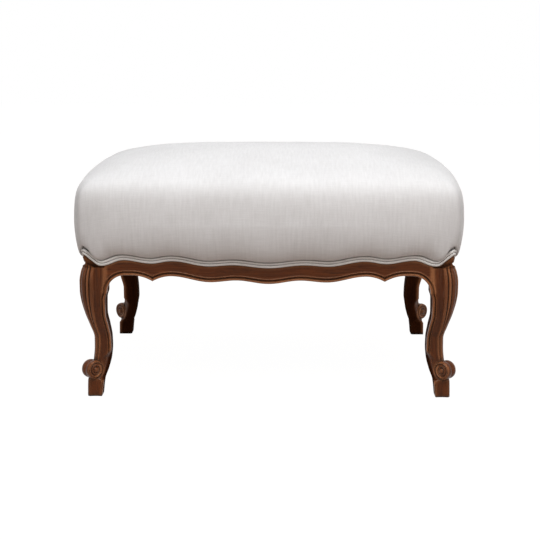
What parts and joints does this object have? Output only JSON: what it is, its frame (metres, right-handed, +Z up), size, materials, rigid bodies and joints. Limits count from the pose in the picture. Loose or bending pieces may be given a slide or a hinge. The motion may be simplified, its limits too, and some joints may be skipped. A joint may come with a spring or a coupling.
{
  "type": "footstool",
  "caption": "Louis XV style footstool: domed fabric seat with double piping on a carved walnut frame of scalloped rails and reeded cabriole legs with scroll feet.",
  "frame": {"origin": "on the floor, under the middle of the stool", "axes": "+Z up, +X along the long side, -Y towards the front"},
  "size_m": [0.6128, 0.4588, 0.371],
  "materials": {
    "walnut": "dark walnut stain, rubbed wax polish",
    "beech": "sawn, unfinished",
    "cover_cloth": "slub silk and linen, satin sheen",
    "piping_cloth": "cord wrapped in the cover cloth",
    "webbing": "woven jute",
    "hessian": "plain woven jute",
    "foam": "cut upholstery foam",
    "wadding": "soft fibre wadding",
    "cambric": "black cambric",
    "steel": "plain steel"
  },
  "bodies": {
    "root": {"back_left_corner_block": "beech", "back_rail": "walnut", "back_right_corner_block": "beech", "corner_block_screws": "steel", "cover_tacks": "steel", "cross_webbing_1": "webbing", "cross_webbing_2": "webbing", "cross_webbing_3": "webbing", "cross_webbing_4": "webbing", "cross_webbing_5": "webbing", "dust_cover": "cambric", "dust_cover_tacks": "steel", "foam_core": "foam", "front_left_corner_block": "beech", "front_rail": "walnut", "front_right_corner_block": "beech", "hessian": "hessian", "left_rail": "walnut", "leg_back_left": "walnut", "leg_back_right": "walnut", "leg_front_left": "walnut", "leg_front_right": "walnut", "long_webbing_1": "webbing", "long_webbing_2": "webbing", "long_webbing_3": "webbing", "piping_lower_cord": "piping_cloth", "piping_upper_cord": "piping_cloth", "rail_dowels": "beech", "right_rail": "walnut", "seat_cover": "cover_cloth", "wadding": "wadding", "webbing_tacks": "steel"}
  },
  "joints": []
}
